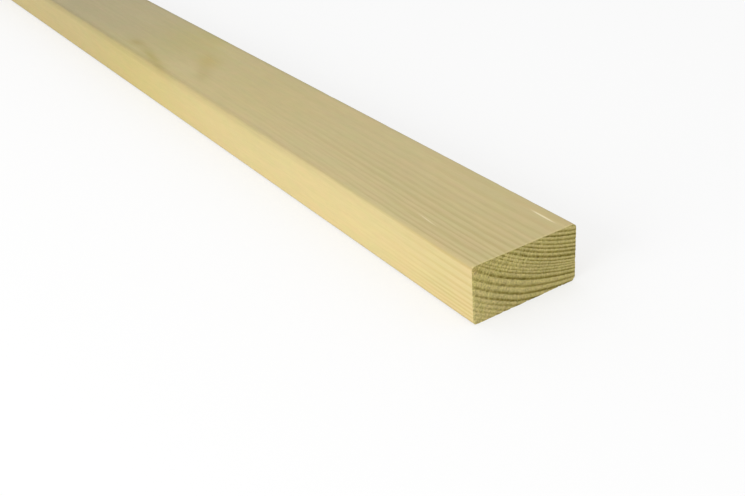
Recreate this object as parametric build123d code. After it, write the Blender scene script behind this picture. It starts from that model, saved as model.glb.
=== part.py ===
from build123d import *
import os

# One length of planed softwood timber, lying flat on its wide face.
# Millimetres. X runs along the grain, Y across the wide face, Z up through the thickness.
# The origin is the middle of the bottom face.

# Driving dimensions
length = 1800.0  # stock length between the two saw cuts
width = 90.0  # finished width of the wide faces, edge to edge
thickness = 45.0  # finished thickness, from the bottom face to the top face
arris_radius = 3.0  # rounding that the planer leaves along the four long corners


def planed_section():
    # The section as it leaves the planer: four flat faces that meet in eased arrises.
    # It stands on Y, so the bottom face lies at Z = 0.
    with BuildSketch(Plane.YZ) as section:
        RectangleRounded(width, thickness, arris_radius, align=(Align.CENTER, Align.MIN))
    return section.sketch


def sawn_length(section):
    # The section run out along the grain, half the length to each side of the origin.
    # Both ends are cut square across it, and their edges stay as sharp as the saw leaves them.
    return extrude(section, amount=length / 2, both=True)


timber_plank = sawn_length(planed_section())

os.makedirs("parts", exist_ok=True)
export_step(timber_plank, "parts/timber_plank.step")
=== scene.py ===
from math import hypot, pi, radians, sin

import bpy
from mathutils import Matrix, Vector


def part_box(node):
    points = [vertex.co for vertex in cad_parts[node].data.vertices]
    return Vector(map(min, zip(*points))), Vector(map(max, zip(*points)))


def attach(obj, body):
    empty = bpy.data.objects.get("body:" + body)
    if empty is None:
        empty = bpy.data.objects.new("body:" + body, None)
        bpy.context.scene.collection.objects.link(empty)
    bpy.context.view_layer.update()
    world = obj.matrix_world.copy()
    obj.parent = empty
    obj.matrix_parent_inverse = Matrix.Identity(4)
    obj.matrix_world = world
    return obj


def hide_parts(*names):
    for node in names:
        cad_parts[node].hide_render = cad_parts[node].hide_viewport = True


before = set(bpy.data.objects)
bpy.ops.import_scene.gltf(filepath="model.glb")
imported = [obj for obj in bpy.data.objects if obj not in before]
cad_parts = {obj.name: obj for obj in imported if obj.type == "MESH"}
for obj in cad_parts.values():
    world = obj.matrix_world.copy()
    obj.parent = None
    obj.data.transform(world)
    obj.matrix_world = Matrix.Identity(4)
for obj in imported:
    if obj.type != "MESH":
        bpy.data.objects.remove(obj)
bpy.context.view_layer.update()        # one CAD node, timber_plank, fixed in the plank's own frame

plankLow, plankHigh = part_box("timber_plank")
print("frame loaded, plank from", tuple(plankLow), "to", tuple(plankHigh))

mm = 0.001
halfLength = plankHigh.x / mm       # the saw cut that faces the camera, in millimetres
halfWidth = plankHigh.y / mm
thickness = plankHigh.z / mm


# The blank, as it leaves the planer and the saw

blankSettings = {
    "arrisRadius": 3.0,     # easing along the four long corners, mm
    "arrisSteps": 4,        # facets round each arris
    "cell": 0.8,            # grid across the grain, mm
    # slices along the grain: (distance from the seen saw cut in mm, slices up to there)
    "slices": [
        (6, 10), (30, 16), (100, 20), (400, 44), (1700, 90), (1770, 10), (1794, 10), (1800, 8),
    ],
    # UV sheet for the finish: the planed faces in its upper part, the two saw cuts under them
    "sheetRim": 0.004,
    "wrapLow": 0.235,
    "wrapHigh": 0.996,
    "cutTop": 0.225,
    "cutWidth": 0.49,
    "farCutStart": 0.506,
}

arris = blankSettings["arrisRadius"]
flatAcross = halfWidth - arris          # half the flat of a wide face
flatUp = thickness - 2 * arris          # the flat of a narrow face
arrisArc = arris * pi / 2
wrapLength = 4 * flatAcross + 2 * flatUp + 4 * arrisArc     # once round the section, mm


def selectAll():
    bpy.ops.mesh.select_all(action="SELECT")


def knifeCut(axis, place):
    # cuts the whole mesh square to one axis, at so many millimetres along it
    facing = [float(name == axis) for name in "xyz"]
    selectAll()
    bpy.ops.mesh.bisect(
        plane_co=[place * mm * part for part in facing], plane_no=facing, threshold=1e-6
    )


def evenCuts(low, high, cell):
    # an even number of cells, so that one cut runs down the middle
    count = 2 * round((high - low) / 2 / cell)
    return [low + (high - low) * step / count for step in range(count + 1)]


def gridCuts(low, high):
    # the flat between the arrises in even cells, and cuts through the wider facets of each arris
    steps = blankSettings["arrisSteps"]
    turns = [radians(90 / steps * step) for step in range(1, steps // 2 + 1)]
    arrisCuts = [arris * (1 - sin(turn)) for turn in turns]
    return (
        [low + cut for cut in arrisCuts]
        + evenCuts(low + arris, high - arris, blankSettings["cell"])
        + [high - cut for cut in arrisCuts]
    )


def planeBlank():
    # a plane as large as the section at the hidden saw cut, with its corners eased
    bpy.ops.mesh.primitive_plane_add(
        size=1, location=(plankLow.x, 0, plankHigh.z / 2), rotation=(0, pi / 2, 0)
    )
    plank = bpy.context.object
    plank.name = "planed_plank"
    bpy.ops.object.mode_set(mode="EDIT")
    selectAll()
    bpy.ops.transform.resize(value=(1, plankHigh.y - plankLow.y, plankHigh.z))
    bpy.ops.mesh.select_mode(type="VERT")
    bpy.ops.mesh.bevel(
        offset=arris * mm, segments=blankSettings["arrisSteps"], affect="VERTICES"
    )
    bpy.ops.object.mode_set(mode="OBJECT")
    bpy.ops.object.transform_apply(location=True, rotation=True, scale=True)

    # the section is cut into a grid, then run out to the seen saw cut
    bpy.ops.object.mode_set(mode="EDIT")
    for y in gridCuts(-halfWidth, halfWidth):
        knifeCut("y", y)
    for z in gridCuts(0, thickness):
        knifeCut("z", z)
    selectAll()
    bpy.ops.mesh.extrude_region_move(
        TRANSFORM_OT_translate={"value": (plankHigh.x - plankLow.x, 0, 0)}
    )
    selectAll()
    bpy.ops.mesh.normals_make_consistent(inside=False)
    return plank


def sliceBlank(plank):
    # zones along the grain are cut apart, and the long edges in each are subdivided
    zones = blankSettings["slices"]
    for distance, _ in zones[:-1]:
        knifeCut("x", halfLength - distance)
    bpy.ops.mesh.select_mode(type="EDGE")
    near = 0
    for distance, slices in zones:
        bpy.ops.mesh.select_all(action="DESELECT")
        bpy.ops.object.mode_set(mode="OBJECT")
        middle = (halfLength - (near + distance) / 2) * mm
        places = plank.data.vertices
        for edge in plank.data.edges:
            first, second = places[edge.vertices[0]].co.x, places[edge.vertices[1]].co.x
            edge.select = min(first, second) < middle < max(first, second)
        bpy.ops.object.mode_set(mode="EDIT")
        bpy.ops.mesh.subdivide(number_cuts=slices - 1)
        near = distance
    bpy.ops.object.mode_set(mode="OBJECT")


def wrapPlace(y, z):
    # how far round the section a point lies, from the middle of the bottom up the right side
    if abs(y) <= flatAcross:
        return y if z < thickness / 2 else 2 * flatAcross + flatUp + 2 * arrisArc - y
    upward = min(max(z - arris, 0), flatUp)
    over = z - arris - upward       # negative on a lower arris, positive on an upper one
    turn = arrisArc * (1 + over / hypot(abs(y) - flatAcross, over))
    right = flatAcross + turn + upward
    return right if y > 0 else wrapLength - right


def layFlat(plank):
    # UV map for the finish: the four planed faces as one wrap, and the two saw cuts under it
    rim = blankSettings["sheetRim"]
    cutHeight = blankSettings["cutTop"] - rim
    wrapLow = blankSettings["wrapLow"]
    wrapHeight = blankSettings["wrapHigh"] - wrapLow
    uvMap = plank.data.uv_layers.new(name="OFBake")
    places = [vertex.co / mm for vertex in plank.data.vertices]
    loops = plank.data.loops
    flat = [0.0] * (2 * len(loops))
    for face in plank.data.polygons:
        sawCut = abs(face.normal.x) > 0.5
        leftHalf = face.center.y < 0
        for corner in face.loop_indices:
            x, y, z = places[loops[corner].vertex_index]
            if sawCut:
                start = rim if face.normal.x > 0 else blankSettings["farCutStart"]
                across = start + blankSettings["cutWidth"] * (y / halfWidth + 1) / 2
                up = rim + cutHeight * z / thickness
            else:
                around = wrapPlace(y, z)
                if leftHalf and around < wrapLength / 4:
                    around += wrapLength
                across = rim + (1 - 2 * rim) * (x / halfLength + 1) / 2
                up = wrapLow + wrapHeight * around / wrapLength
            flat[2 * corner : 2 * corner + 2] = across, up
    uvMap.data.foreach_set("uv", flat)


bpy.ops.object.select_all(action="DESELECT")
plank = planeBlank()
sliceBlank(plank)
layFlat(plank)
print("blank cut,", len(plank.data.polygons), "faces")


# Short names for node work, in a material and in geometry nodes alike

def newNode(tree, kind, **settings):
    node = tree.nodes.new(kind)
    for name, value in settings.items():
        setattr(node, name, value)
    return node


def feed(tree, socket, value):
    # a socket is linked in, anything else is typed in
    if isinstance(value, bpy.types.NodeSocket):
        tree.links.new(value, socket)
    else:
        socket.default_value = value


def feedAll(tree, node, values):
    for socket, value in zip(node.inputs, values):
        feed(tree, socket, value)
    return node.outputs


def calc(tree, operation, *values):
    return feedAll(tree, newNode(tree, "ShaderNodeMath", operation=operation), values)[0]


def vectorCalc(tree, operation, *values):
    return feedAll(tree, newNode(tree, "ShaderNodeVectorMath", operation=operation), values)


def total(tree, *values):
    result = values[0]
    for value in values[1:]:
        result = calc(tree, "ADD", result, value)
    return result


def product(tree, *values):
    result = values[0]
    for value in values[1:]:
        result = calc(tree, "MULTIPLY", result, value)
    return result


def flip(tree, value):
    return calc(tree, "SUBTRACT", 1.0, value)


def diagonal(tree, first, second):
    squares = total(tree, product(tree, first, first), product(tree, second, second))
    return calc(tree, "SQRT", squares)


def split(tree, vector):
    outputs = feedAll(tree, newNode(tree, "ShaderNodeSeparateXYZ"), [vector])
    return outputs[0], outputs[1], outputs[2]


def join(tree, x, y, z):
    return feedAll(tree, newNode(tree, "ShaderNodeCombineXYZ"), (x, y, z))[0]


def scaled(tree, vector, amount):
    node = newNode(tree, "ShaderNodeVectorMath", operation="SCALE")
    feed(tree, node.inputs[0], vector)
    feed(tree, node.inputs["Scale"], amount)
    return node.outputs[0]


def ease(tree, value, low, high, start=0.0, end=1.0):
    # a soft step from start to end as value goes from low to high
    node = newNode(tree, "ShaderNodeMapRange", interpolation_type="SMOOTHSTEP")
    return feedAll(tree, node, (value, low, high, start, end))[0]


def turned(tree, part, low, high):
    # how far a face is turned one way, from that part of its normal
    return ease(tree, calc(tree, "ABSOLUTE", part), low, high)


def curve(tree, value, points):
    # a curve through given points, in the units of value
    low, high = points[0][0], points[-1][0]
    floor = min(point[1] for point in points)
    rise = max(point[1] for point in points) - floor
    node = newNode(tree, "ShaderNodeFloatCurve")
    line = node.mapping.curves[0]
    while len(line.points) < len(points):
        line.points.new(0.5, 0.5)
    for mark, point in zip(line.points, points):
        mark.location = ((point[0] - low) / (high - low), (point[1] - floor) / rise)
        mark.handle_type = "AUTO_CLAMPED"
    node.mapping.update()
    share = calc(tree, "DIVIDE", calc(tree, "SUBTRACT", value, low), high - low)
    feed(tree, node.inputs["Value"], share)
    return calc(tree, "MULTIPLY_ADD", node.outputs[0], rise, floor)


def wobble(tree, place, lengths, seed, detail=2.0):
    # noise about zero, about one unit each way, whose cells measure lengths along x, y and z
    shrink = [1 / length for length in lengths]
    move = (seed, seed * 1.7, seed * 2.3)
    node = newNode(tree, "ShaderNodeTexNoise")
    feed(tree, node.inputs["Vector"], vectorCalc(tree, "MULTIPLY_ADD", place, shrink, move)[0])
    node.inputs["Scale"].default_value = 1.0
    node.inputs["Detail"].default_value = detail
    node.inputs["Roughness"].default_value = 0.5
    return calc(tree, "MULTIPLY_ADD", node.outputs[0], 3.0, -1.5)


def waver(tree, place, noise):
    # noise of a given strength: lengths, seed, detail, strength
    *cells, strength = noise
    return product(tree, wobble(tree, place, *cells), strength)


def patchy(tree, place, noise):
    # noise as soft patches: lengths, seed, detail, and the step that makes them, as for ease
    lengths, seed, detail, *step = noise
    return ease(tree, wobble(tree, place, lengths, seed, detail), *step)


def spot(tree, place, centre, reach):
    # one at centre, falling softly to nothing past reach
    away = vectorCalc(tree, "SUBTRACT", place, centre)[0]
    away = vectorCalc(tree, "DIVIDE", away, reach)[0]
    squared = vectorCalc(tree, "DOT_PRODUCT", away, away)["Value"]
    return calc(tree, "EXPONENT", calc(tree, "MULTIPLY", squared, -1.0))


def blend(tree, factor, first, second, blendType="MIX"):
    node = newNode(tree, "ShaderNodeMix", data_type="RGBA", blend_type=blendType)
    feed(tree, node.inputs[0], factor)
    for socket, colour in ((node.inputs[6], first), (node.inputs[7], second)):
        isSocket = isinstance(colour, bpy.types.NodeSocket)
        feed(tree, socket, colour if isSocket else (*colour, 1.0))
    return node.outputs[2]


def blendValue(tree, factor, first, second):
    return total(tree, product(tree, second, factor), product(tree, first, flip(tree, factor)))


def tinted(tree, place, colour, tint):
    # a tint that comes and goes between two colours: noise for patchy, first colour, second
    noise, first, second = tint
    swing = blend(tree, patchy(tree, place, noise), first, second)
    return blend(tree, 1.0, colour, swing, "MULTIPLY")


# The trunk that the plank was sawn from. All places are millimetres, and the seen end is at +x.

trunkSettings = {
    "pith": (80.7, 216.7),      # centre of the rings at the seen end, y and z
    "pithDrift": (0.02, -0.01),     # how the centre drifts per millimetre back from that end
    "driftLength": 250.0,       # and swings back over about this length
    "meanRadius": 215.0,
    # how much further out in the trunk the plank lies, at each distance back from the seen end
    "taper": [
        (0, 0.0), (60, -0.32), (130, 0.05), (230, 1.1), (600, 4.3), (1100, 8.0), (1800, 13.0),
    ],
    # ring number at each radius: narrow rings inside, a very fine band, then broad ones
    "ringCount": [
        (158, -7.0), (170, -3.1), (176.8, -1.0), (180.2, 0.0), (183.3, 1.0), (186.1, 2.0),
        (189.0, 3.0), (191.8, 4.0), (194.6, 5.0), (198.0, 6.0), (200.8, 7.0), (203.2, 8.0),
        (205.5, 9.0), (207.8, 10.0), (210.0, 11.0), (214.1, 12.0), (219.6, 13.0), (224.85, 14.0),
        (229.9, 15.0), (233.6, 16.0), (237.2, 17.0), (240.1, 18.0), (243.0, 19.0), (245.6, 20.0),
        (262, 26.5), (284, 36.0),
    ],
    # width of one year's growth at each radius
    "ringSpacing": [
        (158, 3.2), (195, 3.0), (200, 2.6), (208, 2.2), (212, 3.6), (218, 5.6), (226, 5.0),
        (234, 3.6), (241, 2.9), (284, 2.4),
    ],
    # how dark each ring's latewood is
    "ringWeight": [
        (-8, 0.5), (-4, 0.8), (-1, 0.5), (0, 0.68), (1, 0.92), (2, 0.72), (3, 0.75), (4, 0.85),
        (5, 0.82), (6, 0.95), (7, 0.85), (8, 0.68), (9, 0.55), (10, 0.6), (11, 0.72), (12, 0.92),
        (13, 0.68), (14, 0.86), (15, 0.87), (16, 0.6), (17, 0.5), (18, 0.55), (19, 0.4), (22, 0.4),
        (26, 0.9), (30, 0.5), (36, 0.8),
    ],
    # how wide it is, as a share of the shape below
    "lateWidth": [
        (-8, 0.8), (0, 0.75), (4, 0.75), (6, 0.85), (7, 0.5), (11, 0.5), (12, 1.05), (15, 1.0),
        (18, 0.8), (36, 0.8),
    ],
    # earlywood darkens slowly into latewood, which ends sharply: mm from the darkest line
    "ringShape": [
        (-3.4, 0.0), (-2.4, 0.07), (-1.6, 0.25), (-1.0, 0.6), (-0.4, 0.96), (0.0, 1.0),
        (0.5, 0.82), (0.95, 0.28), (1.4, 0.03), (1.8, 0.0), (5.0, 0.0),
    ],
    # how plainly they show once planed, at each radius, and how much narrower they look
    "planedShow": [
        (150, 0.6), (178, 0.58), (188, 0.62), (194, 0.85), (198, 1.0), (211, 1.0), (217, 0.78),
        (232, 0.78), (240, 1.3), (290, 1.3),
    ],
    "planedSharpness": 1.6,
    # the rings aren't true circles: inner ones widen to the right, the broad ones crowd there
    "innerSkew": [
        (150, 0.0), (180, 0.0), (187, 0.08), (191, 0.11), (203, 0.11), (207, 0.0), (290, 0.0),
    ],
    "skewAngle": 20.0,
    "crowding": 0.027,          # share of ring width lost for each degree below the next value
    "crowdAngle": 22.0,
    "mostCrowding": 0.4,
    "crowdRadius": 211.0,
    "buriedKnot": (420.0, 2.0, 45.0),   # a knot under the top face that bends the grain
    "knotReach": (42.0, 13.0, 16.0),
    "knotPull": -5.0,
    # noise that moves the rings in and out: lengths of its cells along x, y and z, seed, detail,
    # and its strength in mm, for two of them as a soft step (from, to, strength there and there)
    # over the distance back from the seen end
    "wander": ((230, 45, 45), 3.1),
    "wanderAlong": (60, 320, 0.06, 1.5),
    "shiver": ((34, 9, 9), 7.7),
    "shiverAlong": (4, 90, 0.15, 0.3),
    "ragged": ((18, 0.95, 0.95), 11.3, 1.0, 0.24),
}


def trunkPattern(tree, place):
    settings = trunkSettings
    x, y, z = split(tree, place)
    back = calc(tree, "SUBTRACT", halfLength, x)
    swing = calc(tree, "SINE", calc(tree, "DIVIDE", back, settings["driftLength"]))
    swing = product(tree, swing, settings["driftLength"])
    pithY = calc(tree, "MULTIPLY_ADD", swing, settings["pithDrift"][0], settings["pith"][0])
    pithZ = calc(tree, "MULTIPLY_ADD", swing, settings["pithDrift"][1], settings["pith"][1])
    across = calc(tree, "SUBTRACT", pithY, y)
    below = calc(tree, "SUBTRACT", pithZ, z)
    radius = diagonal(tree, across, below)
    angle = calc(tree, "ARCTAN2", across, below)
    degrees = calc(tree, "DEGREES", angle)

    fromSkew = calc(tree, "SUBTRACT", degrees, settings["skewAngle"])
    skew = product(tree, curve(tree, radius, settings["innerSkew"]), fromSkew)
    missing = calc(tree, "MAXIMUM", calc(tree, "SUBTRACT", settings["crowdAngle"], degrees), 0.0)
    share = calc(tree, "MULTIPLY", missing, settings["crowding"])
    share = calc(tree, "MINIMUM", share, settings["mostCrowding"])
    outside = calc(tree, "MAXIMUM", calc(tree, "SUBTRACT", radius, settings["crowdRadius"]), 0.0)
    crowd = product(tree, outside, calc(tree, "DIVIDE", share, flip(tree, share)))
    wander = wobble(tree, place, *settings["wander"])
    shiver = wobble(tree, place, *settings["shiver"])
    knot = spot(tree, place, settings["buriedKnot"], settings["knotReach"])
    grown = total(
        tree,
        radius,
        skew,
        crowd,
        curve(tree, back, settings["taper"]),
        product(tree, wander, ease(tree, back, *settings["wanderAlong"])),
        product(tree, shiver, ease(tree, back, *settings["shiverAlong"])),
        waver(tree, place, settings["ragged"]),
        product(tree, knot, settings["knotPull"]),
    )

    count = curve(tree, grown, settings["ringCount"])
    ring = calc(tree, "ROUND", count)
    spacing = curve(tree, grown, settings["ringSpacing"])
    fromLine = product(tree, calc(tree, "SUBTRACT", count, ring), spacing)
    fromLine = calc(tree, "DIVIDE", fromLine, curve(tree, ring, settings["lateWidth"]))
    late = curve(tree, fromLine, settings["ringShape"])
    weight = curve(tree, ring, settings["ringWeight"])
    return {
        "x": x,
        "y": y,
        "z": z,
        "back": back,
        "nearestCut": calc(tree, "SUBTRACT", halfLength, calc(tree, "ABSOLUTE", x)),
        "fromLeft": calc(tree, "ADD", y, halfWidth),
        "fromTop": calc(tree, "SUBTRACT", thickness, z),
        "radius": grown,
        "degrees": degrees,
        # a place on the cut as distance round the rings, and out
        "around": join(tree, product(tree, angle, settings["meanRadius"]), grown, 0.0),
        "late": product(tree, late, weight),
        "planedLate": product(
            tree,
            calc(tree, "POWER", late, settings["planedSharpness"]),
            calc(tree, "SQRT", weight),
            curve(tree, grown, settings["planedShow"]),
        ),
    }


# Relief that the planer, the saw and handling leave in the surface, in mm. Below its depth each
# kind has its noise (lengths, seed, detail, and the noise values between which it sets in).
# A soft step reads (from, to, value there, value there), and runs from 0 to 1 if none is given.

reliefSettings = {
    "planedRings": 0.06,        # earlywood lies this much lower than latewood on planed faces
    "planedWaves": 0.08,
    "waves": ((120, 12, 12), 2.0, 2.0, -1.0, 1.0),
    "sawnRings": 0.2,           # the saw pulls the soft earlywood out deeper
    "sawnFuzz": 0.16,
    "fuzz": ((4, 1.5, 1.5), 6.0, 2.0, -0.7, 0.7),
    "sawScore": 0.12,           # arcs of the saw blade, whose hub was at this y and z
    "score": ((1.4, 60, 1), 5.0, 1.0, -0.2, 0.8),
    "sawHub": (-40.0, -160.0),
    "tearOut": 0.6,             # splinters gone from the rim of a saw cut
    "torn": ((2.6, 1.5, 1.5), 9.0, 2.0, 0.1, 0.75),
    "tornBand": 6.0,            # how wide that rim is
    "tornLow": (1.0, 0.4),      # how much is torn at the bottom edge itself, and past the rim
    "tornRight": (0.4, 0.65),   # and towards the right edge, then at it
    "tornLength": (0.0, 3.0, 1.0, 0.0),     # how far the tears run along the grain
    "arrisDents": 0.35,
    "dents": ((14, 3, 3), 4.0, 2.0, 0.25, 0.9),
    "dentedTurn": (0.05, 0.4),      # a face turned as far as this both ways lies on an arris
    "cutSkin": (0.1, 0.3, 1.0, 0.0),    # how deep the roughness of a cut goes along the grain
    "sliverDepth": 0.3,
    # slivers lifted from the top face near the seen end: middle, reach, slant, strength
    "slivers": [
        ((878.0, 34.6, 45.0), (11.5, 0.85, 1.5), -0.02, 1.0),
        ((829.0, -28.5, 45.0), (14.0, 0.75, 1.5), -0.08, 0.5),
    ],
}


def slantedSpot(tree, wood, centre, reach, slant):
    # a spot that leans across the grain, by slant millimetres for each one along it
    drift = calc(tree, "MULTIPLY", calc(tree, "SUBTRACT", wood["x"], centre[0]), slant)
    slanted = join(tree, wood["x"], calc(tree, "SUBTRACT", wood["y"], drift), wood["z"])
    return spot(tree, slanted, centre, reach)


def sliverShape(tree, wood):
    shapes = [
        product(tree, slantedSpot(tree, wood, centre, reach, slant), strength)
        for centre, reach, slant, strength in reliefSettings["slivers"]
    ]
    return total(tree, *shapes)


def sawMarks(tree, wood):
    # arcs of a blade that swung up through the plank from below
    hubY, hubZ = reliefSettings["sawHub"]
    sideways = calc(tree, "SUBTRACT", wood["y"], hubY)
    upward = calc(tree, "SUBTRACT", wood["z"], hubZ)
    arcs = join(tree, diagonal(tree, sideways, upward), wood["y"], 0.0)
    return patchy(tree, arcs, reliefSettings["score"])


def tearOut(tree, wood, place):
    # gone mostly from the bottom and right edges, where the teeth leave the wood
    settings = reliefSettings
    band = settings["tornBand"]
    low = ease(tree, wood["z"], 0.0, band, *settings["tornLow"])
    right = ease(tree, wood["y"], halfWidth - band, halfWidth, *settings["tornRight"])
    closeBy = ease(tree, wood["nearestCut"], *settings["tornLength"])
    torn = patchy(tree, place, settings["torn"])
    return product(tree, torn, closeBy, calc(tree, "MAXIMUM", low, right))


def carveRelief(plank):
    settings = reliefSettings
    tree = bpy.data.node_groups.new("plankRelief", "GeometryNodeTree")
    tree.interface.new_socket("Geometry", in_out="INPUT", socket_type="NodeSocketGeometry")
    tree.interface.new_socket("Geometry", in_out="OUTPUT", socket_type="NodeSocketGeometry")
    uncarved = newNode(tree, "NodeGroupInput").outputs[0]
    result = newNode(tree, "NodeGroupOutput").inputs[0]
    place = scaled(tree, newNode(tree, "GeometryNodeInputPosition").outputs[0], 1 / mm)
    wood = trunkPattern(tree, place)
    normal = newNode(tree, "GeometryNodeInputNormal").outputs[0]
    normalX, normalY, normalZ = split(tree, normal)
    onArris = product(
        tree,
        turned(tree, normalY, *settings["dentedTurn"]),
        turned(tree, normalZ, *settings["dentedTurn"]),
    )
    early = flip(tree, wood["late"])
    planed = total(
        tree,
        product(tree, early, settings["planedRings"]),
        product(tree, patchy(tree, place, settings["waves"]), settings["planedWaves"]),
        product(tree, patchy(tree, place, settings["dents"]), onArris, settings["arrisDents"]),
        product(tree, sliverShape(tree, wood), settings["sliverDepth"]),
    )
    cut = total(
        tree,
        product(tree, early, settings["sawnRings"]),
        product(tree, patchy(tree, place, settings["fuzz"]), settings["sawnFuzz"]),
        product(tree, sawMarks(tree, wood), settings["sawScore"]),
    )
    # a saw cut is rough right up to its rim, so it sinks along the grain, and a planed face
    # sinks across it
    torn = product(tree, tearOut(tree, wood, place), settings["tearOut"])
    onCut = ease(tree, wood["nearestCut"], *settings["cutSkin"])
    sunk = product(tree, cut, onCut, calc(tree, "SIGN", wood["x"]))
    across = total(tree, planed, torn)
    inward = join(
        tree,
        total(tree, sunk, product(tree, normalX, torn)),
        product(tree, normalY, across),
        product(tree, normalZ, across),
    )
    move = newNode(tree, "GeometryNodeSetPosition")
    feed(tree, move.inputs["Geometry"], uncarved)
    feed(tree, move.inputs["Offset"], scaled(tree, inward, -mm))
    feed(tree, result, move.outputs[0])
    carved = plank.modifiers.new("relief", "NODES")
    carved.node_group = tree
    bpy.ops.object.modifier_apply(modifier=carved.name)


carveRelief(plank)
bpy.ops.object.shade_smooth_by_angle(angle=radians(35))
print("relief carved")


# Planed softwood: one solid pattern, seen planed along the grain and sawn across it

woodColours = {
    "earlyTop": (0.582, 0.479, 0.235),      # pale earlywood on the wide faces
    "lateTop": (0.488, 0.390, 0.164),
    "earlyEdge": (0.636, 0.520, 0.248),     # the narrow faces are a warmer yellow
    "lateEdge": (0.572, 0.451, 0.190),
    "earlyEnd": (0.570, 0.484, 0.190),      # end grain drinks light
    "lateEnd": (0.120, 0.090, 0.002),
    "ray": (0.630, 0.550, 0.235),
    "resin": (1.0, 1.0, 0.68),              # latewood on the cut is redder as well as darker
    "burr": (0.725, 0.625, 0.250),          # torn fibres at the rim of the cut
    "rubbed": (0.560, 0.420, 0.150),        # the cut's upper left corner
    "olive": (0.450, 0.395, 0.128),
    "ochre": (0.435, 0.350, 0.100),
    "amber": (0.496, 0.371, 0.083),
    "brown": (0.440, 0.330, 0.130),
    "dusk": (0.465, 0.383, 0.190),
    "straw": (0.590, 0.480, 0.165),
    "pale": (0.620, 0.520, 0.270),
    "sliver": (0.800, 0.700, 0.430),
    "farShadeTop": (0.728, 0.742, 0.770),       # what the painted shade of the far half multiplies the colour by
    "farShadeEdge": (0.825, 0.820, 0.775),
}


def brightened(tree, colour, tones):
    return scaled(tree, colour, calc(tree, "ADD", total(tree, *tones), 1.0))


# The planed faces. Tones brighten the colour by that share of it, and noise and soft steps
# are written as above.

planedSettings = {
    "tone": 0.01,
    "edgeTurn": (0.6, 0.97),        # a face turned this far sideways is a narrow one
    # how plainly the rings show, by distance back from the seen end
    "ringsAlong": [
        (0, 0.92), (60, 0.8), (130, 0.6), (230, 0.36), (330, 0.24), (450, 0.22), (900, 0.5),
        (1300, 0.7), (1800, 0.8),
    ],
    # and by how much more or less on the narrow faces
    "edgeRingsAlong": [
        (0, 1.38), (25, 1.28), (45, 1.02), (80, 0.62), (130, 0.34), (230, 0.3), (400, 0.5),
        (1800, 0.8),
    ],
    "unevenRings": ((260, 30, 30), 12.0),
    "unevenAlong": (20, 300, 0.1, 0.25),
    # patches of other colour: middle, reach, slant across the grain, colour, strength
    "patches": [
        ((340.0, 14.0, 45.0), (68.0, 52.0, 30.0), 0.0, "olive", 0.5),
        ((354.0, 44.0, 45.0), (26.0, 9.0, 8.0), 0.0, "olive", 0.4),
        ((415.0, 2.0, 45.0), (23.0, 10.5, 8.0), -0.2, "amber", 0.5),
        ((432.0, -12.0, 45.0), (26.0, 7.0, 6.0), -0.45, "ochre", 0.24),
        ((448.0, -21.0, 45.0), (15.0, 8.0, 8.0), -0.3, "brown", 0.35),
        ((364.0, -37.0, 45.0), (44.0, 4.6, 6.0), -0.16, "ochre", 0.92),
        ((302.0, -30.0, 45.0), (14.0, 6.0, 6.0), 0.0, "ochre", 0.78),
        ((375.0, 26.0, 45.0), (48.0, 20.0, 10.0), 0.0, "straw", 0.35),
        ((417.0, -27.0, 45.0), (22.0, 9.0, 8.0), 0.0, "pale", 0.2),
        ((402.0, 34.0, 45.0), (22.0, 13.0, 10.0), 0.0, "pale", 0.25),
        ((190.0, -26.0, 45.0), (120.0, 18.0, 10.0), 0.0, "dusk", 0.3),
        ((325.0, -45.0, 16.0), (125.0, 12.0, 60.0), 0.0, "straw", 0.5),
        ((525.0, 0.0, 45.0), (95.0, 60.0, 20.0), 0.0, "straw", 0.24),
    ],
    # painted shade: how much darker and greyer the faces are, by distance back from the seen end,
    # standing in for the lamp's falloff along the length
    "farShadeAlong": [
        (0, 0.0), (120, 0.02), (220, 0.10), (330, 0.19), (380, 0.26), (480, 0.32), (550, 0.38),
        (630, 0.7), (730, 0.9), (800, 1.0), (1000, 0.9), (1400, 0.55), (1800, 0.35),
    ],
    # painted shade darkens the upper corners, by distance back, in from the edge and down from the
    # top
    "cornerShade": [
        (0, -0.03), (110, -0.035), (225, -0.085), (375, -0.13), (900, -0.16), (1800, -0.1),
    ],
    "cornerIn": (1.0, 7.0, 1.0, 0.0),
    "cornerDown": (3.0, 10.0, 1.0, 0.0),
    "arrisShade": -0.08,             # painted shade that darkens the arrises against the lamp
    "arrisTurn": (0.1, 0.5),
    "heartToBark": (170, 255, -0.035, 0.045),       # the wood's tone, by radius in the trunk
    "tones": [
        ((22, 0.9, 0.9), 15.0, 3.0, 0.045),     # fibres
        ((320, 5, 5), 17.0, 2.0, 0.025),        # broad bands
        ((90, 24, 24), 19.0, 2.0, 0.025),       # clouds
        ((16, 5, 5), 23.0, 2.0, 0.022),         # mottle
    ],
    "flecks": ((7, 0.26, 0.26), 41.0, 1.0, 0.35, 0.9, 0.0, -0.1),
    # faint warm and green clouds, large and small: noise and the two tints
    "tints": [
        (((36, 11, 11), 21.0, 2.0, -0.9, 0.9), (1.018, 0.994, 0.988), (0.977, 1.004, 0.993)),
        (((20, 6, 6), 53.0, 2.0, -0.9, 0.9), (1.016, 0.988, 1.018), (0.985, 1.009, 0.978)),
    ],
    # fibre ends torn up along the top rim of each cut
    "fringe": ((1.6, 1.2, 2.0), 47.0, 2.0, -0.4, 0.5),
    "fringeAlong": (0.3, 2.8, 0.6, 0.0),
    "fringeDown": (0.5, 1.2, 1.0, 0.0),
    "sliverEdge": (0.1, 0.75),
}


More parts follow.
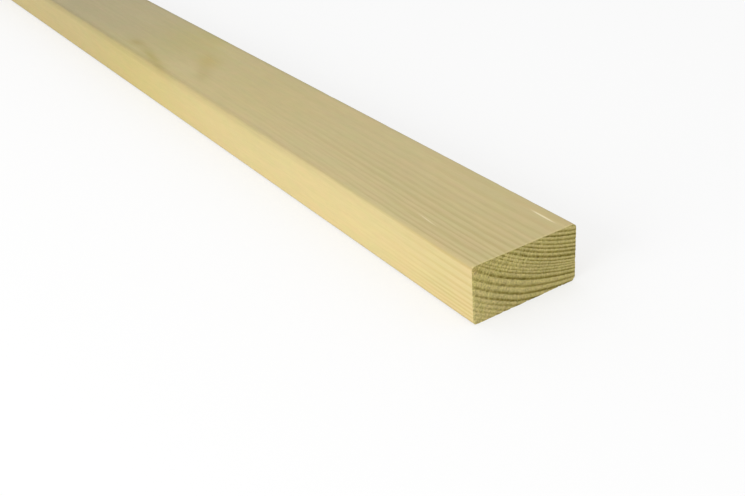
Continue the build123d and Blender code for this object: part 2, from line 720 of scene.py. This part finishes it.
def planedColour(tree, wood, place, normal):
    settings = planedSettings
    _, normalY, normalZ = split(tree, normal)
    edgeFace = turned(tree, normalY, *settings["edgeTurn"])
    early = blend(tree, edgeFace, woodColours["earlyTop"], woodColours["earlyEdge"])
    late = blend(tree, edgeFace, woodColours["lateTop"], woodColours["lateEdge"])
    # the rings show plainly near the seen end and come and go further along
    uneven = product(
        tree,
        wobble(tree, place, *settings["unevenRings"]),
        ease(tree, wood["back"], *settings["unevenAlong"]),
    )
    plain = total(tree, curve(tree, wood["back"], settings["ringsAlong"]), uneven)
    onEdge = curve(tree, wood["back"], settings["edgeRingsAlong"])
    plain = product(tree, plain, blendValue(tree, edgeFace, 1.0, onEdge))
    colour = blend(tree, product(tree, wood["planedLate"], plain), early, late)

    # patches round the buried knot, then painted shade, which darkens and greys the far half
    for centre, reach, slant, name, strength in settings["patches"]:
        shape = slantedSpot(tree, wood, centre, reach, slant)
        colour = blend(tree, product(tree, shape, strength), colour, woodColours[name])
    farShadeColour = blend(tree, edgeFace, woodColours["farShadeTop"], woodColours["farShadeEdge"])
    farShade = curve(tree, wood["back"], settings["farShadeAlong"])
    colour = blend(tree, farShade, colour, farShadeColour, "MULTIPLY")

    # painted shade on the arrises and the upper corners, which the lamp would otherwise light
    # brighter
    onArris = product(
        tree,
        turned(tree, normalY, *settings["arrisTurn"]),
        turned(tree, normalZ, *settings["arrisTurn"]),
    )
    fromEdge = calc(tree, "SUBTRACT", halfWidth, calc(tree, "ABSOLUTE", wood["y"]))
    corner = product(
        tree,
        ease(tree, fromEdge, *settings["cornerIn"]),
        ease(tree, wood["fromTop"], *settings["cornerDown"]),
        curve(tree, wood["back"], settings["cornerShade"]),
    )
    tones = [
        settings["tone"],
        *[waver(tree, place, noise) for noise in settings["tones"]],
        patchy(tree, place, settings["flecks"]),
        ease(tree, wood["radius"], *settings["heartToBark"]),
        product(tree, onArris, settings["arrisShade"]),
        corner,
    ]
    colour = brightened(tree, colour, tones)
    for tint in settings["tints"]:
        colour = tinted(tree, place, colour, tint)

    fringe = product(
        tree,
        ease(tree, wood["nearestCut"], *settings["fringeAlong"]),
        ease(tree, wood["fromTop"], *settings["fringeDown"]),
        patchy(tree, place, settings["fringe"]),
    )
    colour = blend(tree, fringe, colour, woodColours["burr"])
    sliver = ease(tree, sliverShape(tree, wood), *settings["sliverEdge"])
    return blend(tree, sliver, colour, woodColours["sliver"])


# The saw cuts

sawnSettings = {
    # the dark lines break into beads towards the left, where the saw ran across them, and the
    # inner ones most: by degrees round the trunk, and by radius
    "beads": ((1.3, 6.0, 1.0), 25.0, 1.0, -0.3, 0.45),
    "beadsRound": (13, 30, 0.15, 0.62),
    "beadsOut": (205, 216, 1.0, 0.6),
    "linesFromLeft": (3.0, 26.0, 0.7, 1.0),     # and they fade towards the left rim
    # pale wood rays: how plain everywhere, then in the band of very fine rings and inside it
    "rays": ((1.1, 7.0, 1.0), 27.0, 1.0, 0.2, 0.7),
    "rayWeight": 0.15,
    "fineBandRays": 0.45,
    "fineBandFrom": (195, 200),
    "fineBandTo": (210, 214, 1.0, 0.0),
    "innerRays": 0.3,
    "innerTo": (198, 204, 1.0, 0.0),
    "innerRound": (17.19, 28.65),
    # the left rim is bruised near its top
    "bruise": ((9, 3.2, 3.2), 37.0, 2.0, -0.9, 0.3),
    "bruiseFrom": (2.5, 6.0),
    "bruiseTo": (5.0, 13.0, 1.0, 0.0),
    "bruiseUp": (34.0, 42.0),
    "bruiseStrength": 0.3,
    # rubbed smooth and browner on the corner itself
    "rubbedPlace": (halfLength, 2.0 - halfWidth, thickness - 2.5),
    "rubbedReach": (9.0, 4.0, 2.8),
    "rubbedStrength": 0.75,
    # and frayed and paler below
    "frayed": ((5, 1.2, 2.0), 39.0, 2.0, -0.6, 0.4, 0.3, 1.0),
    "frayedFromLeft": (0.0, 3.2, 0.8, 0.0),
    "frayedUp": (26.0, 40.0, 1.0, 0.2),
    # the left of the cut is greyer low down and yellower above
    "leftPart": (18.0, 50.0, 1.0, 0.0),
    "leftUp": (8.0, 38.0),
    "leftTints": ((1.0, 1.0, 1.07), (1.0, 1.0, 0.93)),
    "tint": (((30, 5, 5), 43.0, 2.0, -0.8, 0.8), (1.02, 0.985, 1.04), (0.98, 1.012, 0.93)),
    "tones": [
        ((9, 1.1, 1.0), 29.0, 3.0, 0.28),       # crushed fibre ends, coarse and fine
        ((9, 0.7, 0.7), 49.0, 0.0, 0.28),
        ((40, 14, 14), 31.0, 2.0, 0.05),        # clouds
    ],
    "pits": ((9, 0.85, 0.85), 45.0, 0.0, 0.55, 0.9, 0.0, -0.3),
    # files of cells run out across the rings, and hatch the cut most at the left
    "hatch": ((1.2, 2.4, 1.0), 51.0, 0.0),
    "hatchRound": (12, 26, 0.14, 0.23),
    # the seen cut is duller in its middle and paler low on the left: middle, reach, tone
    "shades": [
        ((halfLength, 1.0, 21.0), (60.0, 30.0, 8.0), -0.08),
        ((halfLength, -40.0, 9.0), (60.0, 18.0, 14.0), 0.06),
    ],
}


def sawnColour(tree, wood, place):
    settings = sawnSettings
    radius, degrees, around = wood["radius"], wood["degrees"], wood["around"]
    fromLeft = wood["fromLeft"]
    gaps = product(
        tree,
        patchy(tree, around, settings["beads"]),
        ease(tree, degrees, *settings["beadsRound"]),
        ease(tree, radius, *settings["beadsOut"]),
    )
    faded = ease(tree, fromLeft, *settings["linesFromLeft"])
    late = product(tree, wood["late"], flip(tree, gaps), faded)
    colour = blend(tree, late, woodColours["earlyEnd"], woodColours["lateEnd"])
    colour = blend(tree, late, colour, woodColours["resin"], "MULTIPLY")

    fineBand = product(
        tree,
        ease(tree, radius, *settings["fineBandFrom"]),
        ease(tree, radius, *settings["fineBandTo"]),
        settings["fineBandRays"],
    )
    inner = product(
        tree,
        ease(tree, radius, *settings["innerTo"]),
        ease(tree, degrees, *settings["innerRound"]),
        settings["innerRays"],
    )
    rays = product(
        tree,
        patchy(tree, around, settings["rays"]),
        total(tree, settings["rayWeight"], fineBand, inner),
    )
    colour = blend(tree, rays, colour, woodColours["ray"])

    bruise = product(
        tree,
        ease(tree, fromLeft, *settings["bruiseFrom"]),
        ease(tree, fromLeft, *settings["bruiseTo"]),
        ease(tree, wood["z"], *settings["bruiseUp"]),
        patchy(tree, place, settings["bruise"]),
        settings["bruiseStrength"],
    )
    colour = blend(tree, bruise, colour, woodColours["lateEnd"])
    rubbed = spot(tree, place, settings["rubbedPlace"], settings["rubbedReach"])
    rubbed = product(tree, rubbed, settings["rubbedStrength"])
    colour = blend(tree, rubbed, colour, woodColours["rubbed"])
    frayed = product(
        tree,
        ease(tree, fromLeft, *settings["frayedFromLeft"]),
        ease(tree, wood["z"], *settings["frayedUp"]),
        patchy(tree, place, settings["frayed"]),
    )
    colour = blend(tree, frayed, colour, woodColours["burr"])

    leftPart = ease(tree, fromLeft, *settings["leftPart"])
    leftTint = blend(tree, ease(tree, wood["z"], *settings["leftUp"]), *settings["leftTints"])
    colour = blend(tree, leftPart, colour, leftTint, "MULTIPLY")
    colour = tinted(tree, place, colour, settings["tint"])
    hatch = product(
        tree,
        wobble(tree, around, *settings["hatch"]),
        ease(tree, degrees, *settings["hatchRound"]),
    )
    shades = [
        product(tree, spot(tree, place, centre, reach), tone)
        for centre, reach, tone in settings["shades"]
    ]
    tones = [
        *[waver(tree, place, noise) for noise in settings["tones"]],
        patchy(tree, place, settings["pits"]),
        hatch,
        *shades,
    ]
    return brightened(tree, colour, tones)


# Both together, and the gloss and fine relief of the surface

surfaceSettings = {
    "cutTurn": (0.45, 0.65),        # a face turned this far along the grain is sawn
    "tornBurr": 0.8,                # how pale the torn splinters are
    "planedRoughness": 0.55,
    "sawnRoughness": 0.85,
    "fibreRoughness": 0.04,
    "lateRoughness": -0.06,         # latewood shines a little more
    "specular": 0.25,
    # relief below the mesh grid, in mm: fibres and planer ripple, and crushed fibres on the cuts
    "fibres": ((24, 0.45, 0.45), 33.0, 3.0),
    "fibreHeight": 0.018,
    "ripplePitch": 1.9,
    "rippleHeight": 0.003,
    "crushed": ((3, 0.5, 0.5), 35.0, 3.0, 0.09),
}


def softwoodMaterial():
    settings = surfaceSettings
    material = bpy.data.materials.new("planed_softwood")
    material.use_nodes = True
    tree = material.node_tree
    shader = tree.nodes["Principled BSDF"]
    coordinates = newNode(tree, "ShaderNodeTexCoord").outputs
    place = scaled(tree, coordinates["Object"], 1 / mm)
    normal = coordinates["Normal"]
    wood = trunkPattern(tree, place)
    sawn = turned(tree, split(tree, normal)[0], *settings["cutTurn"])
    planed = planedColour(tree, wood, place, normal)
    colour = blend(tree, sawn, planed, sawnColour(tree, wood, place))
    burr = product(tree, tearOut(tree, wood, place), settings["tornBurr"])
    feed(tree, shader.inputs["Base Color"], blend(tree, burr, colour, woodColours["burr"]))

    fibre = wobble(tree, place, *settings["fibres"])
    rough = total(
        tree,
        blendValue(tree, sawn, settings["planedRoughness"], settings["sawnRoughness"]),
        product(tree, fibre, settings["fibreRoughness"]),
        product(tree, wood["late"], settings["lateRoughness"]),
    )
    feed(tree, shader.inputs["Roughness"], rough)
    shader.inputs["Specular IOR Level"].default_value = settings["specular"]

    ripple = calc(tree, "SINE", product(tree, wood["x"], 2 * pi / settings["ripplePitch"]))
    planedHeight = total(
        tree,
        product(tree, fibre, settings["fibreHeight"]),
        product(tree, ripple, settings["rippleHeight"]),
    )
    sawnHeight = waver(tree, place, settings["crushed"])
    bump = newNode(tree, "ShaderNodeBump")
    bump.inputs["Strength"].default_value = 1.0
    bump.inputs["Distance"].default_value = mm
    feed(tree, bump.inputs["Height"], blendValue(tree, sawn, planedHeight, sawnHeight))
    feed(tree, shader.inputs["Normal"], bump.outputs[0])
    return material


plank.data.materials.append(softwoodMaterial())
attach(plank, "root")
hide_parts("timber_plank")
print("softwood finished")


# Studio: a pale floor, one broad soft lamp and an even sky

studioSettings = {
    "lampFrom": (0.10, -0.95, 0.30),        # direction of the lamp from the seen end
    "lampDistance": 2.4,
    "lampSize": 1.6,
    "lampPower": 33.0,
    "skyStrength": 0.82,
    "floorSize": 24.0,
    "floorSides": 96,
    "floorRoughness": 0.9,
    "floorWhite": (0.98, 0.98, 0.98),
    "floorBounce": (0.72, 0.72, 0.71),
    "plainWhite": (1.3, 3.5, 0.6, 1.0),     # its share of the floor, by metres from the middle
}


def studioFloor():
    settings = studioSettings
    bpy.ops.mesh.primitive_circle_add(
        vertices=settings["floorSides"], radius=settings["floorSize"] / 2, fill_type="NGON"
    )
    floor = bpy.context.object
    floor.name = "studio_floor"
    material = bpy.data.materials.new("pale_floor")
    material.use_nodes = True
    tree = material.node_tree
    shader = tree.nodes["Principled BSDF"]
    shader.inputs["Roughness"].default_value = settings["floorRoughness"]
    shader.inputs["Specular IOR Level"].default_value = 0.0
    seen = newNode(tree, "ShaderNodeLightPath").outputs["Is Camera Ray"]
    colour = blend(tree, seen, settings["floorBounce"], settings["floorWhite"])
    feed(tree, shader.inputs["Base Color"], colour)
    # to the camera the floor near the plank is part lit, which keeps the shadow, and part plain
    # white, and far out it is all white
    white = newNode(tree, "ShaderNodeEmission")
    place = newNode(tree, "ShaderNodeTexCoord").outputs["Object"]
    fromMiddle = vectorCalc(tree, "LENGTH", place)["Value"]
    share = product(tree, seen, ease(tree, fromMiddle, *settings["plainWhite"]))
    mixed = feedAll(
        tree, newNode(tree, "ShaderNodeMixShader"), (share, shader.outputs[0], white.outputs[0])
    )
    feed(tree, tree.nodes["Material Output"].inputs["Surface"], mixed[0])
    floor.data.materials.append(material)


def studioLight():
    target = Vector((plankHigh.x, 0, thickness * mm / 2))
    toLamp = Vector(studioSettings["lampFrom"]).normalized()
    place = target + toLamp * studioSettings["lampDistance"]
    bpy.ops.object.light_add(type="AREA", location=place)
    lamp = bpy.context.object
    lamp.name = "soft_lamp"
    lamp.rotation_euler = toLamp.to_track_quat("Z", "Y").to_euler()
    lamp.data.energy = studioSettings["lampPower"]
    lamp.data.size = studioSettings["lampSize"]

    # the sky lights the wood with less than the plain white that is seen behind it
    world = bpy.data.worlds.new("even_sky")
    bpy.context.scene.world = world
    world.use_nodes = True
    tree = world.node_tree
    rays = newNode(tree, "ShaderNodeLightPath").outputs
    shown = calc(tree, "MAXIMUM", rays["Is Camera Ray"], rays["Is Glossy Ray"])
    shown = calc(tree, "MAXIMUM", shown, rays["Is Transmission Ray"])
    sky = tree.nodes["Background"]
    sky.inputs["Color"].default_value = (1, 1, 1, 1)
    strength = studioSettings["skyStrength"]
    feed(tree, sky.inputs["Strength"], calc(tree, "MULTIPLY_ADD", shown, 1 - strength, strength))


studioFloor()
studioLight()


# Camera, where the photograph was taken from

cameraSettings = {
    "lens": 50.0,
    "sensor": 36.0,
    "fromSeenEnd": (0.45004, -0.3893, 0.38945),     # metres from its bottom middle
    "turn": (60.02, 4.14, 56.486),      # degrees
    "nearest": 0.02,                    # metres, and so is the next
    "farthest": 60.0,
}


def photoCamera():
    seenEnd = Vector((plankHigh.x, 0, 0))
    bpy.ops.object.camera_add(location=seenEnd + Vector(cameraSettings["fromSeenEnd"]))
    camera = bpy.context.object
    camera.name = "photo_camera"
    camera.rotation_euler = [radians(angle) for angle in cameraSettings["turn"]]
    camera.data.lens = cameraSettings["lens"]
    camera.data.sensor_width = cameraSettings["sensor"]
    camera.data.clip_start = cameraSettings["nearest"]
    camera.data.clip_end = cameraSettings["farthest"]
    bpy.context.scene.camera = camera
    bpy.context.scene.view_settings.view_transform = "Standard"


photoCamera()
print("studio and camera set")
